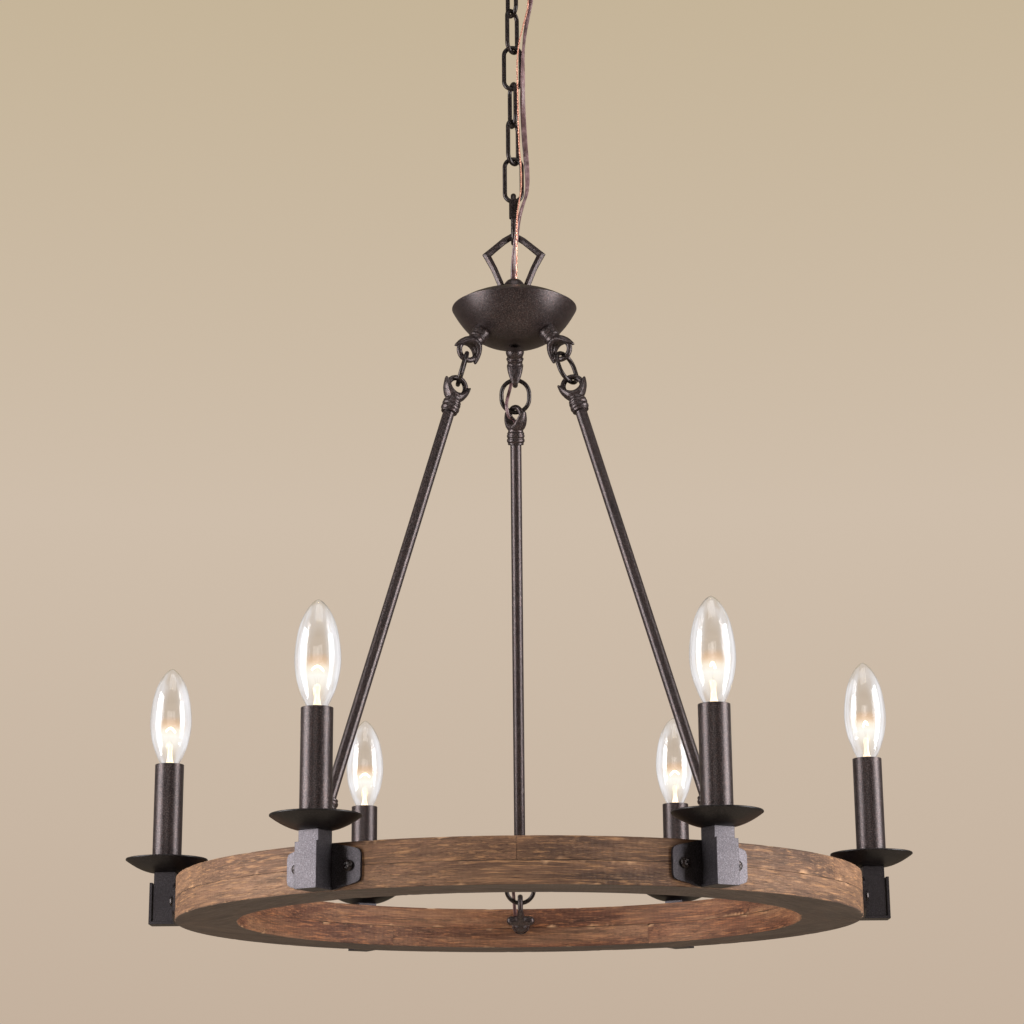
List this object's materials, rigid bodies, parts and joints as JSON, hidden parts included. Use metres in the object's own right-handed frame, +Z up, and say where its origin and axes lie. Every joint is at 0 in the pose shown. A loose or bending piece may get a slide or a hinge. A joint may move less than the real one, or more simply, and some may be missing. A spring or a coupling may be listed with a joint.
{
  "type": "wagon wheel chandelier",
  "caption": "Laminated wooden rim carrying candle lamps on brackets, hung by rods from a bowl-shaped hub on a chain below a domed ceiling canopy.",
  "frame": {"origin": "centre of the crossbar's upper face, on the ceiling plane above the chain", "axes": "+Z up into the ceiling, -Y towards the viewer of the picture, +X to the viewer's right"},
  "size_m": [0.6504, 0.5724, 0.928],
  "materials": {
    "zinc_steel": "zinc plated, dull",
    "green_screw": "green ground screw",
    "wire_nuts": "orange moulded plastic",
    "bronze_coat": "dark bronze powder coat, finely speckled, satin",
    "chain_steel": "near-black satin coat",
    "rim_wood": "weathered brown stain over saw marks, matt",
    "socket_body": "moulded socket body",
    "socket_metal": "plain brass shell",
    "cord_jacket": "brown flexible jacket",
    "bare_copper": "bare stranded copper",
    "bulb_glass": "clear, glossy",
    "bulb_base": "nickel and brass screw base, satin"
  },
  "bodies": {
    "ceiling": {"crossbar": "zinc_steel", "canopy_nipple": "zinc_steel", "nipple_locknut": "zinc_steel", "canopy_loop": "bronze_coat", "ground_screw": "green_screw", "wire_connectors": "wire_nuts"},
    "canopy": {"canopy": "bronze_coat"},
    "canopy_collar": {"canopy_collar": "bronze_coat"},
    "chain_link_1": {"chain_link_1": "chain_steel"},
    "chain_link_2": {"chain_link_2": "chain_steel"},
    "chain_link_3": {"chain_link_3": "chain_steel"},
    "chain_link_4": {"chain_link_4": "chain_steel", "supply_cord": "cord_jacket", "ground_wire": "bare_copper"},
    "chain_link_5": {"chain_link_5": "chain_steel"},
    "chain_link_6": {"chain_link_6": "chain_steel"},
    "quick_link": {"quick_link": "chain_steel"},
    "quick_link_nut": {"quick_link_nut": "chain_steel"},
    "hub": {"hub_loop": "bronze_coat", "hub_cover": "bronze_coat", "hub_bowl": "bronze_coat", "hub_eyes": "bronze_coat", "hub_nuts": "zinc_steel", "hub_nipple": "zinc_steel"},
    "left_rod": {"left_rod": "bronze_coat", "left_rod_eyes": "bronze_coat", "left_rings": "chain_steel"},
    "right_rod": {"right_rod": "bronze_coat", "right_rod_eyes": "bronze_coat", "right_rings": "chain_steel"},
    "rear_rod": {"rear_rod": "bronze_coat", "rear_rod_eyes": "bronze_coat", "rear_rings": "chain_steel", "feed_cord": "cord_jacket"},
    "wheel": {"rim_upper_layer": "rim_wood", "rim_lower_layer": "rim_wood", "rim_eye_bolts": "bronze_coat", "rim_brackets": "bronze_coat", "bracket_screws": "chain_steel", "candle_posts": "bronze_coat", "drip_pans": "bronze_coat", "candle_nipples": "zinc_steel", "candle_nuts": "zinc_steel", "lamp_sockets": "socket_body", "socket_brass": "socket_metal", "candle_covers": "bronze_coat", "rim_feed_cord": "cord_jacket"},
    "bulb_1": {"bulb_1_glass": "bulb_glass", "bulb_1_base": "bulb_base"},
    "bulb_2": {"bulb_2_glass": "bulb_glass", "bulb_2_base": "bulb_base"},
    "bulb_3": {"bulb_3_glass": "bulb_glass", "bulb_3_base": "bulb_base"},
    "bulb_4": {"bulb_4_glass": "bulb_glass", "bulb_4_base": "bulb_base"},
    "bulb_5": {"bulb_5_glass": "bulb_glass", "bulb_5_base": "bulb_base"},
    "bulb_6": {"bulb_6_glass": "bulb_glass", "bulb_6_base": "bulb_base"}
  },
  "joints": [
    {"name": "canopy_drop", "type": "slide", "parent": "ceiling", "child": "canopy", "axis": [0, 0, -1], "range_m": [0, 0.022]},
    {"name": "collar_drop", "type": "slide", "parent": "ceiling", "child": "canopy_collar", "axis": [0, 0, -1], "range_m": [0, 0.022]},
    {"name": "chain_1_swing", "type": "hinge", "parent": "ceiling", "child": "chain_link_1", "pos_m": [0, 0, -0.0651], "axis": [0.766, 0.6428, 0], "range_deg": [-5, 5]},
    {"name": "chain_2_swing", "type": "hinge", "parent": "chain_link_1", "child": "chain_link_2", "pos_m": [0, 0, -0.10115], "axis": [-0.5, 0.866, 0], "range_deg": [-5, 5]},
    {"name": "chain_3_swing", "type": "hinge", "parent": "chain_link_2", "child": "chain_link_3", "pos_m": [0, 0, -0.13755], "axis": [0.5736, 0.8192, 0], "range_deg": [-5, 5]},
    {"name": "chain_4_swing", "type": "hinge", "parent": "chain_link_3", "child": "chain_link_4", "pos_m": [0, 0, -0.17395], "axis": [1, 0, 0], "range_deg": [-5, 5], "deforming": ["supply_cord", "ground_wire"]},
    {"name": "chain_5_swing", "type": "hinge", "parent": "chain_link_4", "child": "chain_link_5", "pos_m": [0, 0, -0.21035], "axis": [-0.309, 0.9511, 0], "range_deg": [-5, 5]},
    {"name": "chain_6_swing", "type": "hinge", "parent": "chain_link_5", "child": "chain_link_6", "pos_m": [0, 0, -0.24675], "axis": [0.6428, 0.766, 0], "range_deg": [-5, 5]},
    {"name": "quick_link_swing", "type": "hinge", "parent": "chain_link_6", "child": "quick_link", "pos_m": [0, 0, -0.28315], "axis": [1, 0, 0], "range_deg": [-5, 5]},
    {"name": "quick_link_nut_slide", "type": "slide", "parent": "quick_link", "child": "quick_link_nut", "axis": [0, 0, -1], "range_m": [0, 0.0115]},
    {"name": "hub_swing", "type": "hinge", "parent": "quick_link", "child": "hub", "pos_m": [0, 0, -0.3223], "axis": [0, 1, 0], "range_deg": [-8, 8]},
    {"name": "wheel_twist", "type": "hinge", "parent": "hub", "child": "wheel", "pos_m": [0, 0, -0.44], "axis": [0, 0, 1], "range_deg": [-6, 6], "stiffness_Nm_per_rad": 0.63, "deforming": ["rim_feed_cord"]},
    {"name": "left_rod_swing", "type": "hinge", "parent": "hub", "child": "left_rod", "pos_m": [-0.04247, -0.02452, -0.43931], "axis": [-0.866, -0.5, 0], "range_deg": [-3, 3]},
    {"name": "right_rod_swing", "type": "hinge", "parent": "hub", "child": "right_rod", "pos_m": [0.04247, -0.02452, -0.43931], "axis": [0.866, -0.5, 0], "range_deg": [-3, 3]},
    {"name": "rear_rod_swing", "type": "hinge", "parent": "hub", "child": "rear_rod", "pos_m": [0, 0.04904, -0.43931], "axis": [0, 1, 0], "range_deg": [-3, 3], "deforming": ["feed_cord"]},
    {"name": "bulb_1_lift", "type": "slide", "parent": "wheel", "child": "bulb_1", "axis": [0, 0, 1], "range_m": [0, 0.04]},
    {"name": "bulb_2_lift", "type": "slide", "parent": "wheel", "child": "bulb_2", "axis": [0, 0, 1], "range_m": [0, 0.04]},
    {"name": "bulb_3_lift", "type": "slide", "parent": "wheel", "child": "bulb_3", "axis": [0, 0, 1], "range_m": [0, 0.04]},
    {"name": "bulb_4_lift", "type": "slide", "parent": "wheel", "child": "bulb_4", "axis": [0, 0, 1], "range_m": [0, 0.04]},
    {"name": "bulb_5_lift", "type": "slide", "parent": "wheel", "child": "bulb_5", "axis": [0, 0, 1], "range_m": [0, 0.04]},
    {"name": "bulb_6_lift", "type": "slide", "parent": "wheel", "child": "bulb_6", "axis": [0, 0, 1], "range_m": [0, 0.04]}
  ],
  "couplings": [
    {"joint": "collar_drop", "follows": "canopy_drop", "ratio": 1},
    {"joint": "left_rod_swing", "follows": "wheel_twist", "ratio": 0.4267},
    {"joint": "right_rod_swing", "follows": "wheel_twist", "ratio": 0.4267},
    {"joint": "rear_rod_swing", "follows": "wheel_twist", "ratio": 0.4267}
  ]
}
